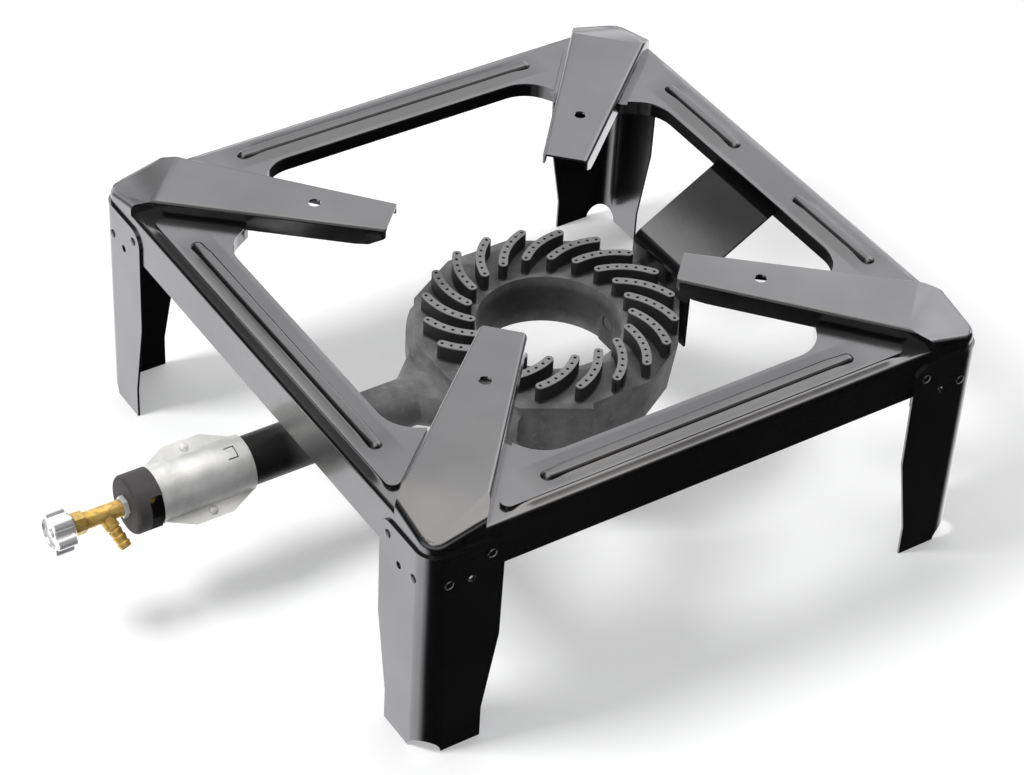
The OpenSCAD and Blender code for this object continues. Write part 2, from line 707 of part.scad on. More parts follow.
// Half of the sleeve, built on +Z with its split at y = 0
module half_sleeve() {
    bore = sleeve_bore_d / 2;
    out = bore + sleeve_t;
    difference() {
        union() {
            intersection() {
                difference() {
                    cylinder(sleeve_l, out, out);
                    translate([0, 0, -over]) cylinder(sleeve_l + 2 * over, bore, bore);
                }
                translate([-2 * out, seat / 2, -over]) cube([4 * out, 2 * out, sleeve_l + 2 * over]);
            }
            for (s = [-1, 1]) translate([0, seat / 2 + sleeve_t, 0]) rotate([90, 0, 0]) linear_extrude(sleeve_t)
                polygon(round_poly([[s * (bore + sleeve_t / 2), 0], [s * (out + sleeve_flange_w), sleeve_l * 0.3],
                    [s * (out + sleeve_flange_w), sleeve_l * 0.7], [s * (bore + sleeve_t / 2), sleeve_l]],
                    [0, 5, 5, 0]));
        }
        for (s = [-1, 1]) translate([s * flange_mid, 2 * sleeve_t, sleeve_l / 2]) rotate([90, 0, 0])
            cylinder(4 * sleeve_t, rivet_r + fit, rivet_r + fit, $fn = 32);
    }
}

module sleeve_place() {
    translate([0, sleeve_front_y + seat + sleeve_l, axis_z]) rotate([90, sleeve_turn, 0]) children();
}

// Three cuts round a small tongue that is pressed against the neck
module lanced_tongue() {
    cut = 0.8;
    for (s = [-1, 1]) translate([s * 4 - cut / 2, 0, 8]) cube([cut, sleeve_bore_d, 7]);
    translate([-4, 0, 8]) cube([8, sleeve_bore_d, cut]);
}

module air_sleeve_upper() {
    color([0.75, 0.76, 0.75]) sleeve_place() difference() {
        half_sleeve();
        rotate([0, 0, 12]) lanced_tongue();
    }
}

module air_sleeve_lower() {
    color([0.72, 0.73, 0.72]) sleeve_place() mirror([0, 1, 0]) half_sleeve();
}

module sleeve_rivets() {
    grip = 2 * sleeve_t + 3 * seat;
    color([0.8, 0.8, 0.8]) sleeve_place() for (s = [-1, 1])
        translate([s * flange_mid, grip / 2, sleeve_l / 2]) rotate([0, 0, 90]) rivet(rivet_r, grip, 3, 1.4);
}

/* Gas tap, from the neck's front wall to the knob */

nut_t = 3;
tap_back = neck_front + seat + nut_t + seat;
tap_front = tap_back + tap_l;
tap_r = tap_d / 2;
spindle_r = spindle_d / 2;
packing_r = spindle_r + 1.7;
ring_cord = 0.8;
branch = tap_back + 11.5;
nipple_thread_r = 3.3;
boss_l = tap_r + 3;
gland_r = tap_r - 0.5;
gland_flats = 13;
gland_l = 7;
gland_wall = 2;
jet_thread_r = 3;
outlet_l = nut_t + front_wall + 6;

// Places a shape, built on +Z, along the nipple's axis
module at_nipple() {
    translate([0, -branch, axis_z]) rotate([0, 90 + nipple_drop, 0]) rotate([-nipple_lean, 0, 0]) children();
}

module lock_nut() {
    color([0.8, 0.8, 0.78]) forward(-neck_front - seat) difference() {
        cylinder(nut_t, 7.2, 7.2, $fn = 6);
        translate([0, 0, -over]) cylinder(nut_t + 2 * over, outlet_r + fit, outlet_r + fit);
    }
}

module tap_body() {
    thread_l = gland_l - gland_wall - 0.5;
    color([0.78, 0.6, 0.25]) difference() {
        union() {
            forward(-tap_back) rotate_extrude() polygon([[0, 0], [tap_r - 0.6, 0], [tap_r, 0.6], [tap_r, tap_l - gland_l],
                [gland_r, tap_l - gland_l], [gland_r, tap_l - gland_l + thread_l], [0, tap_l - gland_l + thread_l]]);
            forward(-tap_back + outlet_l) cylinder(outlet_l + over, outlet_r, outlet_r);
            at_nipple() cylinder(boss_l, 4.7, 4.7);
        }
        forward(-tap_back + outlet_l + over) cylinder(outlet_l + 5.5, 1.5, 1.5);
        forward(-tap_back + outlet_l + over) cylinder(8, jet_thread_r + fit, jet_thread_r + fit);
        // Seat, threaded bore and packing bore for the spindle
        forward(-tap_back - 4) cylinder(2.6, 1.5, 3);
        forward(-tap_back - 6.5) cylinder(tap_l, 3, 3);
        forward(-tap_front + gland_l + 1) cylinder(tap_l, packing_r + fit, packing_r + fit);
        at_nipple() cylinder(boss_l + over, 2, 2);
        at_nipple() translate([0, 0, boss_l - 5]) cylinder(5 + over, nipple_thread_r + fit, nipple_thread_r + fit);
    }
}

module injector() {
    color([0.8, 0.65, 0.3]) forward(-tap_back + outlet_l) difference() {
        union() {
            translate([0, 0, seat]) cylinder(5, jet_thread_r, jet_thread_r);
            translate([0, 0, -3]) cylinder(3 - seat, 4.6, 4.6, $fn = 6);
            translate([0, 0, -5.5]) cylinder(3, 2.2, 3);
            cylinder(2 * seat, jet_thread_r, jet_thread_r);
            translate([0, 0, -2 * seat]) cylinder(3 * seat, jet_thread_r, jet_thread_r);
        }
        translate([0, 0, -4.5]) cylinder(12, 1.6, 1.6);
        translate([0, 0, -7]) cylinder(4, 0.6, 0.6, $fn = 24);
    }
}

module hose_nipple() {
    barb_r = barb_d / 2;
    neck_r = barb_r - 0.7;
    z1 = boss_l + seat;
    step = (nipple_l - z1 - 2.2) / 3;
    color([0.8, 0.62, 0.28]) at_nipple() rotate_extrude() polygon(concat(
        [[1.9, boss_l - 4.5], [nipple_thread_r, boss_l - 4.5], [nipple_thread_r, z1], [4.8, z1], [4.8, z1 + 1.6],
            [neck_r, z1 + 2.2]],
        [for (i = [0:2]) each [[neck_r, z1 + 2.2 + step * i + 0.5], [barb_r, z1 + 2.2 + step * i + 0.9],
            [barb_r, z1 + 2.2 + step * i + 1.7], [neck_r, z1 + 2.2 + step * (i + 1)]]],
        [[1.9, nipple_l]]));
}

module gland_nut() {
    color([0.7, 0.53, 0.22]) forward(-tap_front + gland_l - seat) difference() {
        cylinder(gland_l, gland_flats / 2 / cos(30), gland_flats / 2 / cos(30), $fn = 6);
        translate([0, 0, -over]) cylinder(gland_l - gland_wall + over, gland_r + fit, gland_r + fit);
        cylinder(gland_l + over, spindle_r + fit, spindle_r + fit);
    }
}

valve_lift = 1.5;
knob_back = tap_front + 0.8;
spindle_front = knob_back + knob_l - 4;

module valve_spindle() {
    y0 = tap_back + 1;
    color([0.72, 0.66, 0.5]) forward(-y0) rotate_extrude() polygon([[0, 0], [0.6, 0], [1.35, 3], [2.7, 5.4], [2.7, 6],
        [2, 6.6], [2, 13], [2.95, 13.5], [2.95, 18.5], [spindle_r, 19], [spindle_r, spindle_front - y0],
        [0, spindle_front - y0]]);
}

module stem_o_ring() {
    color([0.1, 0.1, 0.1]) forward(-tap_front + 5) rotate_extrude() translate([spindle_r + fit + ring_cord, 0])
        circle(ring_cord, $fn = 24);
}

module knob() {
    core_r = knob_d / 2 - 3.8;
    lobe_r = 4.1;
    color([0.85, 0.86, 0.87]) forward(-knob_back) difference() {
        union() {
            cylinder(4, core_r - 3, core_r);
            translate([0, 0, 3]) linear_extrude(knob_l - 3) {
                circle(core_r);
                for (k = [0:knob_lobes - 1]) rotate([0, 0, 360 / knob_lobes * k])
                    translate([knob_d / 2 - lobe_r, 0]) circle(lobe_r, $fn = 32);
            }
        }
        // Shallow dish round the screw, and the spindle's bore
        translate([0, 0, knob_l - 1.8]) cylinder(3, core_r - 2, core_r - 1.2);
        translate([0, 0, -over]) cylinder(spindle_front - knob_back + 1.5, spindle_r + fit, spindle_r + fit);
        cylinder(knob_l, 1.6, 1.6, $fn = 32);
    }
}

module knob_screw() {
    color([0.8, 0.8, 0.8]) forward(-knob_back - knob_l + 1.8 - seat) difference() {
        union() {
            rotate_extrude($fn = 32) polygon(concat([[0, 0], [3, 0]],
                [for (i = [0:fold_n]) [3 * cos(90 * i / fold_n), 0.4 + 1.2 * sin(90 * i / fold_n)]]));
            translate([0, 0, -1.6]) cylinder(2, 1.5, 1.5, $fn = 32);
        }
        translate([-3, -0.4, 0.9]) cube([6, 0.8, 2]);
    }
}

frame_top();
leg_front_left();
leg_front_right();
leg_back_left();
leg_back_right();
leg_rivets();
burner_casting();
burner_bolt();
burner_washer();
neck_screw();
air_sleeve_upper();
air_sleeve_lower();
sleeve_rivets();
lock_nut();
tap_body();
injector();
hose_nipple();
gland_nut();
valve_spindle();
stem_o_ring();
knob();
knob_screw();
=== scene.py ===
# %% [markdown]
# A low gas stove: a frame pressed from black enamelled sheet, four corner legs, and an iron ring burner
# with an air sleeve and a gas tap. The CAD model gives every piece its size and place, in metres.
# Here the pieces get the look of the real ones: soft folds, rough iron, zinc, brass and chrome.

import json
import math

import bmesh
import bpy
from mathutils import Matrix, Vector


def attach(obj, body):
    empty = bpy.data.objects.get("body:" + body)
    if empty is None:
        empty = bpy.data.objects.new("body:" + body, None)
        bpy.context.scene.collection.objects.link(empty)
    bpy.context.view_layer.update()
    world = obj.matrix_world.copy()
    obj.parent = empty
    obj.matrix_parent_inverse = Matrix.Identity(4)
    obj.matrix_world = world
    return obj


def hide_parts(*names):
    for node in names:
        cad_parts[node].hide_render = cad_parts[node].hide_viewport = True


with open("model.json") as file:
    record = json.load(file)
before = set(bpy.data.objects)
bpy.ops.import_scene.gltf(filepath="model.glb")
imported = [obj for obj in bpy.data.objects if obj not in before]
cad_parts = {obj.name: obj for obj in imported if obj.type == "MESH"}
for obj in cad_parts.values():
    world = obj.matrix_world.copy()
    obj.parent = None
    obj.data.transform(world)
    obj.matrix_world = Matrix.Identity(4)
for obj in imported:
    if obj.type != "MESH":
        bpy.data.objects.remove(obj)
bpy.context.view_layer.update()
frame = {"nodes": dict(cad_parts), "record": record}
bpy.ops.object.select_all(action="DESELECT")

# %% [markdown]
# The camera stands where the photograph was taken from. Its place comes from the straight edges of the
# square frame: a long lens, in front of the right-hand corner, looking down at about forty degrees.

# %% Camera
CAMERA_PLACE = (1.24906, -0.88351, 1.32671)
CAMERA_TURN_DEG = (50.2752, -2.7284, 57.325)
SENSOR_MM, LENS_MM = 36, 107.2
FARTHEST = 50

bpy.ops.object.camera_add(location=CAMERA_PLACE, rotation=[math.radians(a) for a in CAMERA_TURN_DEG])
camera = bpy.context.object
camera.data.sensor_width = SENSOR_MM
camera.data.lens = LENS_MM
camera.data.clip_end = FARTHEST
bpy.context.scene.camera = camera
bpy.context.scene.view_settings.view_transform = "Standard"
print("camera height, m:", round(camera.location.z, 3))


# %% [markdown]
# Materials are made of nodes. To keep them readable, a socket is wrapped so that ordinary arithmetic
# on it adds Math nodes, and one method adds any other node with its settings and inputs.


# %% A small helper for shader nodes
class Shader:
    """Makes the nodes of one material, or of the world, and wires them up."""

    def __init__(self, name, owner=None):
        self.material = owner or bpy.data.materials.new(name)
        self.material.use_nodes = True
        self.tree = self.material.node_tree
        self.tree.nodes.clear()

    def node(self, kind, settings=None, inputs=None, out=0):
        """Adds a node, with its settings first and then the values or links of its sockets."""
        made = self.tree.nodes.new("ShaderNode" + kind)
        for key, value in (settings or {}).items():
            setattr(made, key, value)
        for key, value in (inputs or {}).items():
            self.put(made.inputs[key], value)
        return Value(self, made.outputs[out] if made.outputs else None)

    def put(self, socket, value):
        if isinstance(value, Value):
            self.tree.links.new(value.socket, socket)
        else:
            socket.default_value = value

    def math(self, operation, *values):
        return self.node("Math", {"operation": operation}, dict(enumerate(values)))

    def mix(self, share, a, b):
        """Two colours mixed, from all a at a share of 0 to all b at 1."""
        return self.node("Mix", {"data_type": "RGBA"}, {0: share, 6: a, 7: b}, out=2)

    def on_object(self):
        """The place of a point on its object, in metres."""
        return self.node("TexCoord", out=3)

    def place(self, scale=(1, 1, 1)):
        """The same place with each axis stretched by scale, which squeezes a pattern along it."""
        return self.node("Mapping", None, {0: self.on_object(), 3: scale})

    def noise(self, scale, detail=3.0, rough=0.5, where=None):
        inputs = {"Scale": scale, "Detail": detail, "Roughness": rough, "Vector": where or self.place()}
        return self.node("TexNoise", None, inputs)

    def ramp(self, value, low, high):
        """0 below low, 1 above high, and straight between them."""
        return self.node("MapRange", {"clamp": True}, {0: value, 1: low, 2: high, 3: 0.0, 4: 1.0})

    def ease(self, value, low, high):
        """As ramp, with a soft start and end."""
        settings = {"interpolation_type": "SMOOTHSTEP"}
        return self.node("MapRange", settings, {0: value, 1: low, 2: high, 3: 0.0, 4: 1.0})

    def past(self, value, edge, blur):
        """0 before edge and 1 past it, blurred by this much on both sides."""
        return self.ramp(value, edge - blur, edge + blur)

    def parts(self, vector):
        """The x, y and z of a vector."""
        split = self.node("SeparateXYZ", None, {0: vector}).socket.node
        return [Value(self, split.outputs[i]) for i in range(3)]

    def size(self, value):
        return self.math("ABSOLUTE", value)

    def rays(self, *names):
        """For each kind of ray, 1 where it is what looks at the surface, and otherwise 0."""
        path = self.node("LightPath").socket.node
        return [Value(self, path.outputs[f"Is {name} Ray"]) for name in names]

    def bump(self, height, depth, below=None):
        """A surface raised by height, which runs from 0 to 1, times depth in metres."""
        inputs = {"Height": height, "Distance": depth, "Strength": 1.0}
        if below is not None:
            inputs["Normal"] = below
        return self.node("Bump", None, inputs)

    def finish(self, **inputs):
        """Ends a material with a Principled surface. An underscore stands for a space in a name."""
        surface = self.node("BsdfPrincipled", None, {k.replace("_", " "): v for k, v in inputs.items()})
        self.node("OutputMaterial", None, {"Surface": surface})
        return self.material


class Value:
    """One output of a node, on which + - * work."""

    def __init__(self, shader, socket):
        self.shader = shader
        self.socket = socket

    def __add__(self, other):
        return self.shader.math("ADD", self, other)

    def __radd__(self, other):
        return self.shader.math("ADD", other, self)

    def __sub__(self, other):
        return self.shader.math("SUBTRACT", self, other)

    def __rsub__(self, other):
        return self.shader.math("SUBTRACT", other, self)

    def __mul__(self, other):
        return self.shader.math("MULTIPLY", self, other)

    def __rmul__(self, other):
        return self.shader.math("MULTIPLY", other, self)


# %% [markdown]
# The floor is a plain pale sheet that keeps the stove's shadow. The camera sees it lifted towards white,
# and more so far from the stove, where it has to meet a white background. Glossy surfaces look through
# it into the studio, because a floor in a black mirror would hide the soft tones that shape it.

# %% Floor
FLOOR_SIDE = 12
FLOOR_LIFT, FAR_LIFT = 0.26, 0.55
LIFT_FROM, LIFT_TO = 0.7, 2.4

bpy.ops.mesh.primitive_plane_add(size=FLOOR_SIDE, location=(0, 0, 0))
floor = bpy.context.object
floor.name = "studio_floor"


def floor_material():
    s = Shader("studio_floor")
    by_camera, by_gloss, through = s.rays("Camera", "Glossy", "Transmission")
    paint = s.node("BsdfDiffuse", None, {"Color": (0.8, 0.8, 0.8, 1)})
    x, y, _ = s.parts(s.on_object())
    reach = s.math("SQRT", x * x + y * y)
    strength = (by_camera + through) * (FLOOR_LIFT + s.ease(reach, LIFT_FROM, LIFT_TO) * FAR_LIFT)
    lift = s.node("Emission", None, {"Color": (1, 1, 1, 1), "Strength": strength})
    sheet = s.node("AddShader", None, {0: paint, 1: lift})
    surface = s.node("MixShader", None, {0: by_gloss, 1: sheet, 2: s.node("BsdfTransparent")})
    s.node("OutputMaterial", None, {"Surface": surface})
    return s.material


floor.data.materials.append(floor_material())
print("floor side, m:", FLOOR_SIDE)

# %% [markdown]
# Black enamel and metal look like what they mirror, so the studio is drawn for them in the world. Its
# patches have soft edges in the direction of the mirrored ray, where x is right, y back and z up. The
# ceiling is brightest at the back, fades out to the front left and to the right, and is darker at its
# back right, which darkens the ledges of the rails. There are pale walls at the back left and at the
# left, a dim one at the front right, and a pale floor at the left. The rest is nearly black. Other rays
# meet a plain grey, and the camera sees white.

# %% The studio round it
CEILING_GLOW, RIGHT_MORE, BACK_MORE, CORNER_LESS = 1.55, 0.4, 0.7, 0.75
OVERHEAD_GLOW, BACK_WALL_GLOW, LEFT_WALL_GLOW, FRONT_WALL_GLOW = 0.22, 1.55, 1.5, 0.5
LEFT_FLOOR_GLOW, DARKEST = 1.4, 0.004

studio = bpy.data.worlds.new("studio_world")
bpy.context.scene.world = studio


def studio_shader():
    s = Shader("studio_world", studio)
    by_camera, by_gloss = s.rays("Camera", "Glossy")
    x, y, z = s.parts(s.node("TexCoord", out=0))
    glow = CEILING_GLOW + s.ease(x, -0.6, -0.3) * RIGHT_MORE + s.ease(y, 0.45, 0.8) * BACK_MORE
    ceiling = s.ease(z, 0.1, 0.6) * s.ease(y + x * 0.6, -0.55, -0.2) * (1 - s.ease(x, 0.25, 0.65))
    dark_corner = s.ease(x, 0.01, 0.12) * s.ease(y, 0.15, 0.35) * CORNER_LESS
    ceiling = ceiling * glow * (1 - dark_corner)
    overhead = s.ease(z, 0.5, 0.72) * (1 - s.ease(x, 0.15, 0.5)) * OVERHEAD_GLOW
    back_wall = s.ease(y, 0.35, 0.6) * s.ease(z, -0.15, 0.0) * s.ease(x * -1, 0.0, 0.4) * BACK_WALL_GLOW
    left_wall = s.ease(x * -1, 0.8, 0.95) * (1 - s.ease(s.size(z), 0.2, 0.45)) * LEFT_WALL_GLOW
    left_floor = s.ease(z * -1, 0.1, 0.4) * s.ease(x * -1, -0.45, 0.05) * LEFT_FLOOR_GLOW
    front_wall = s.ease(z, -0.1, 0.1) * (1 - s.ease(z, 0.45, 0.65)) * FRONT_WALL_GLOW
    front_wall = s.ease(x - y, 0.5, 0.9) * front_wall
    brightest = DARKEST
    for part in (ceiling, overhead, back_wall, left_wall, left_floor, front_wall):
        brightest = s.math("MAXIMUM", part, brightest)
    warm = s.mix(s.ease(z, 0.6, 0.95), (0.985, 0.985, 1.0, 1), (1.0, 0.965, 0.93, 1))
    seen = s.node("Background", None, {"Color": warm, "Strength": brightest})
    plain = s.node("Background", None, {"Color": (0.62, 0.63, 0.65, 1), "Strength": 0.55})
    white = s.node("Background", None, {"Color": (1, 1, 1, 1), "Strength": 1.0})
    lit = s.node("MixShader", None, {0: by_gloss, 1: plain, 2: seen})
    shown = s.node("MixShader", None, {0: by_camera, 1: lit, 2: white})
    s.node("OutputWorld", None, {"Surface": shown})


studio_shader()
print("world:", studio.name)

# %% [markdown]
# Three soft lamps. A large one behind and one overhead fill the shadows, and the key lamp on the tap side
# throws the stove's soft shadow to the right. Glossy rays don't see the lamps, because the world already
# gives the metal its reflections.


# %% Lamps
def lamp(name, place, target, size, glow, tint=(1, 1, 1)):
    """A soft box whose surface is glow times as bright as white."""
    bpy.ops.object.light_add(type="AREA", location=place)
    light = bpy.context.object
    light.name = name
    light.data.shape = "RECTANGLE"
    light.data.size, light.data.size_y = size
    light.data.energy = math.pi * size[0] * size[1] * glow
    light.data.color = tint
    light.rotation_euler = (Vector(target) - Vector(place)).to_track_quat("-Z", "Y").to_euler()
    light.visible_glossy = False


lamp("soft_back", (-0.75, 1.05, 1.6), (0, 0, 0.1), (2.5, 2.0), 0.8)
lamp("soft_overhead", (-0.3, 0.1, 1.9), (0, 0, 0.1), (1.1, 1.1), 1.2, (1, 0.965, 0.93))
lamp("key", (-0.45, -1.75, 2.2), (0, 0, 0.05), (0.7, 0.7), 35.0)

# %% [markdown]
# The enamel is a glossy black coat on pressed steel. It mirrors the room softly, with a faint
# orange-peel unevenness, a slow sag and a little dust, so that no face is one flat tone. It is drawn as
# a dark metal under a thin clear coat, because that gives even grey reflections, which a black plastic
# doesn't. The lips that turn down round the opening are rough, and their colour is painted shade, nearly
# black. The panels round the beads are painted a little darker than the pan fingers, which is painted shade
# too. The four rails are alike, so a point's place is told by how far out it lies from the frame's middle
# and how far along its rail.

# %% Places on the pressed frame
LIP_IN, LIP_OUT, LIP_ALONG, LIP_TOP_Z = 0.159, 0.1665, 0.106, 0.1677
PANEL_IN, PANEL_OUT, PANEL_ALONG, PANEL_LOW_Z = 0.168, 0.191, 0.116, 0.16775
NEAR_BLACK = (0.012, 0.012, 0.012, 1)
print("panel width, mm:", round(1000 * (PANEL_OUT - PANEL_IN), 1))


# %% Enamel
def enamel(name, base=0.16):
    s = Shader(name)
    cloud = s.noise(9.0, 4.0, 0.55)
    fine = s.noise(900.0, 2.0, 0.5)
    peel = s.noise(160.0, 2.0, 0.5)
    dust = s.ramp(s.noise(55.0, 6.0, 0.7), 0.5, 0.85)
    low = (base * 0.85, base * 0.85, base * 0.87, 1)
    high = (base * 1.15, base * 1.15, base * 1.17, 1)
    colour = s.mix(s.ramp(cloud, 0.3, 0.7), low, high)
    x, y, z = s.parts(s.on_object())
    out = s.math("MAXIMUM", s.size(x), s.size(y))
    along = s.math("MINIMUM", s.size(x), s.size(y))
    in_lip = s.past(out, LIP_IN, 0.001) * (1 - s.past(out, LIP_OUT, 0.0003))
    in_lip = in_lip * (1 - s.past(along, LIP_ALONG, 0.002)) * (1 - s.past(z, LIP_TOP_Z, 0.0005))
    on_panel = s.past(out, PANEL_IN, 0.001) * (1 - s.past(out, PANEL_OUT, 0.001))
    on_panel = on_panel * (1 - s.past(along, PANEL_ALONG, 0.008)) * s.past(z, PANEL_LOW_Z, 0.00025)
    # Painted shade: the panels round the beads are darkened towards near black, and the lips inside the
    # opening are made nearly black.
    colour = s.mix(on_panel * (0.16 + cloud * 0.2), colour, NEAR_BLACK)
    colour = s.mix(in_lip, colour, NEAR_BLACK)
    rough = 0.17 + cloud * 0.05 + dust * 0.05 + in_lip * 0.6
    sag = s.noise(7.0, 2.0, 0.5)
    normal = s.bump(fine, 0.000006, s.bump(peel, 0.00003, s.bump(sag, 0.0022)))
    return s.finish(
        Base_Color=colour,
        Metallic=0.97,
        Roughness=rough,
        Normal=normal,
        Coat_Weight=0.35 - in_lip * 0.35,
        Coat_Roughness=0.1,
    )


print("enamel ready")

# %% [markdown]
# The burner is one sand casting, so its skin is grainy and lumpy, and grey with lighter spots. The fins'
# tops are bare. Painted shade darkens the fins' sides in the gaps between them, and darkens the wall of the
# middle hole more the further down it goes. Black paint covers the outer part of the neck. The nose is
# brownish. Masks on the place of a point tell these apart, because each ends at a height or a distance that
# the casting itself gives.

# %% Places on the casting
RING_Y, RING_HOLE_R, RING_H, PLATE_Z, FIN_TOP_Z = 0.015, 0.0475, 0.0375, 0.1075, 0.120
PAINT_START, NOSE_START = 0.175, 0.265
print("fins stand up, mm:", round(1000 * (FIN_TOP_Z - PLATE_Z), 1))


# %% Cast iron
def iron(name):
    s = Shader(name)
    grain = s.noise(420.0, 5.0, 0.65)
    lumps = s.noise(70.0, 3.0, 0.5)
    spots = s.ramp(s.noise(210.0, 4.0, 0.6), 0.55, 0.75)
    x, y, z = s.parts(s.on_object())
    reach = s.math("SQRT", x * x + (y - RING_Y) * (y - RING_Y))
    bare = s.mix(s.ramp(lumps, 0.3, 0.7), (0.13, 0.13, 0.13, 1), (0.22, 0.22, 0.22, 1))
    bare = s.mix(spots * 0.4, bare, (0.36, 0.355, 0.35, 1))
    on_top = s.ramp(z, FIN_TOP_Z - 0.0008, FIN_TOP_Z - 0.0003)
    fin_side = s.ramp(z, PLATE_Z + 0.0003, PLATE_Z + 0.002) * (1 - on_top)
    in_hole = (1 - s.past(reach, RING_HOLE_R, 0.0007)) * (1 - s.ramp(z, PLATE_Z - 0.0095, PLATE_Z - 0.0001))
    # Painted shade: the fins' sides and the lower part of the middle hole's wall are darkened towards
    # black.
    painted_shade = s.math("MAXIMUM", fin_side * 0.94, in_hole * 0.75)
    colour = s.mix(painted_shade, bare, (0.018, 0.018, 0.018, 1))
    colour = s.mix(on_top * 0.6, colour, (0.3, 0.3, 0.3, 1))
    nose = s.past(y * -1, NOSE_START, 0.003)
    painted = s.past(y * -1, PAINT_START, 0.01) * (1 - nose)
    colour = s.mix(painted, colour, NEAR_BLACK)
    colour = s.mix(nose * 0.8, colour, (0.05, 0.044, 0.046, 1))
    rough = 0.6 + grain * 0.2 - painted * 0.25
    normal = s.bump(grain, 0.00022, s.bump(lumps, 0.0003))
    return s.finish(Base_Color=colour, Metallic=0.25, Roughness=rough, Normal=normal)


print("iron ready")

# %% [markdown]
# The sleeve, its rivets, the lock nut and the hidden screw and washer are zinc plated: pale and cloudy,
# with duller stains, and only half as metallic as a mirror. The slower of the two bumps shows that the
# sleeve's thin sheet isn't quite flat.


# %% Zinc plate
def zinc(name, base):
    s = Shader(name)
    tone = s.noise(60.0, 5.0, 0.6)
    fine = s.noise(700.0, 3.0, 0.6)
    stain = s.ramp(s.noise(45.0, 5.0, 0.65), 0.5, 0.75)
    light = (base * 1.08, base * 1.08, base * 1.05, 1)
    dark = (base * 0.82, base * 0.83, base * 0.82, 1)
    colour = s.mix(s.ramp(tone, 0.25, 0.75), dark, light)
    colour = s.mix(stain * 0.5, colour, (base * 0.55, base * 0.55, base * 0.52, 1))
    rough = 0.36 + tone * 0.1 + stain * 0.12
    normal = s.bump(fine, 0.00002, s.bump(s.noise(85.0, 2.0, 0.5), 0.00012))
    return s.finish(Base_Color=colour, Metallic=0.5, Roughness=rough, Normal=normal)


print("zinc ready")

# %% [markdown]
# The tap is turned from brass. Fine rings run round it, drawn by noise that is squeezed along the tap,
# and brown tarnish has grown in patches. It is only half metallic, so that the lamps keep it yellow
# where it would mirror the dark parts of the studio.


# %% Brass
def brass(name, bright=1.0):
    s = Shader(name)
    cloud = s.noise(120.0, 4.0, 0.6)
    turned = s.noise(30.0, 3.0, 0.6, s.place((1, 60, 1)))
    tarnish = s.ramp(s.noise(260.0, 5.0, 0.6), 0.46, 0.72)
    light = (0.88 * bright, 0.6 * bright, 0.18 * bright, 1)
    dark = (0.66 * bright, 0.41 * bright, 0.09 * bright, 1)
    colour = s.mix(s.ramp(cloud, 0.3, 0.7), dark, light)
    colour = s.mix(tarnish * 0.6, colour, (0.2, 0.11, 0.035, 1))
    normal = s.bump(turned, 0.00003, s.bump(cloud, 0.00004))
    return s.finish(Base_Color=colour, Metallic=0.5, Roughness=0.3 + tarnish * 0.2, Normal=normal)


print("brass ready")

# %% [markdown]
# The knob is a bright chromed casting with faint scratches, and the seal on the spindle is black rubber.


# %% Chrome
def chrome(name):
    s = Shader(name)
    cloud = s.noise(90.0, 3.0, 0.5)
    scratch = s.ramp(s.noise(300.0, 4.0, 0.7, s.place((1, 1, 9))), 0.6, 0.8)
    colour = s.mix(s.ramp(cloud, 0.3, 0.7), (0.9, 0.9, 0.91, 1), (0.95, 0.95, 0.95, 1))
    rough = 0.14 + cloud * 0.06 + scratch * 0.1
    return s.finish(Base_Color=colour, Metallic=0.6, Roughness=rough, Normal=s.bump(cloud, 0.00003))


print("chrome ready")


# %% Rubber
def rubber(name):
    s = Shader(name)
    grain = s.noise(500.0, 3.0, 0.6)
    colour = s.mix(grain, (0.012, 0.012, 0.012, 1), (0.03, 0.03, 0.03, 1))
    return s.finish(Base_Color=colour, Roughness=0.6 + grain * 0.2, Normal=s.bump(grain, 0.00002))


print("rubber ready")

# %% [markdown]
# Each finish is made once, and the pieces that have it share it. The rivets' paint is darker than the
# sheet's, and the brass of the gland nut is duller than the tap's.

# %% All finishes
finishes = {
    "enamel": enamel("black_enamel"),
    "enamel_rivet": enamel("painted_rivet", 0.1),
    "iron": iron("cast_iron"),
    "zinc": zinc("zinc_plate", 0.86),
    "bright_zinc": zinc("bright_zinc", 0.85),
    "brass": brass("brass"),
    "dull_brass": brass("dull_brass", 0.8),
    "chrome": chrome("chrome"),
    "rubber": rubber("rubber"),
}
print("finishes:", sorted(finishes))

# %% [markdown]
# A piece that is drawn here has to move with the same body as the CAD solid that it stands for. The
# frame's record says which.

# %% Bodies of the nodes
node_body = {}
for body, members in frame["record"]["behaviour"]["bodies"].items():
    for member in members:
        node_body[member] = body
print("bodies:", sorted(set(node_body.values())))

# %% [markdown]
# Sheet, castings and turned pieces have no knife-sharp edges. A copy of a CAD solid is merged, its flat
# faces are joined, and a narrow bevel rounds the edges, which then catch the light as the real ones do.


# %% Soften a CAD solid's edges
def merged_copy(node, name):
    """A copy of a node's mesh, with double points merged and flat faces joined."""
    source = frame["nodes"][node]
    piece = bpy.data.objects.new(name, source.data.copy())
    bpy.context.scene.collection.objects.link(piece)
    bpy.ops.object.select_all(action="DESELECT")
    bpy.context.view_layer.objects.active = piece
    piece.select_set(True)
    piece.data.materials.clear()
    bpy.ops.object.mode_set(mode="EDIT")
    bpy.ops.mesh.select_all(action="SELECT")
    bpy.ops.mesh.customdata_custom_splitnormals_clear()
    bpy.ops.mesh.remove_doubles(threshold=0.00001)
    bpy.ops.mesh.dissolve_limited(angle_limit=math.radians(0.5))
    bpy.ops.object.mode_set(mode="OBJECT")
    return piece


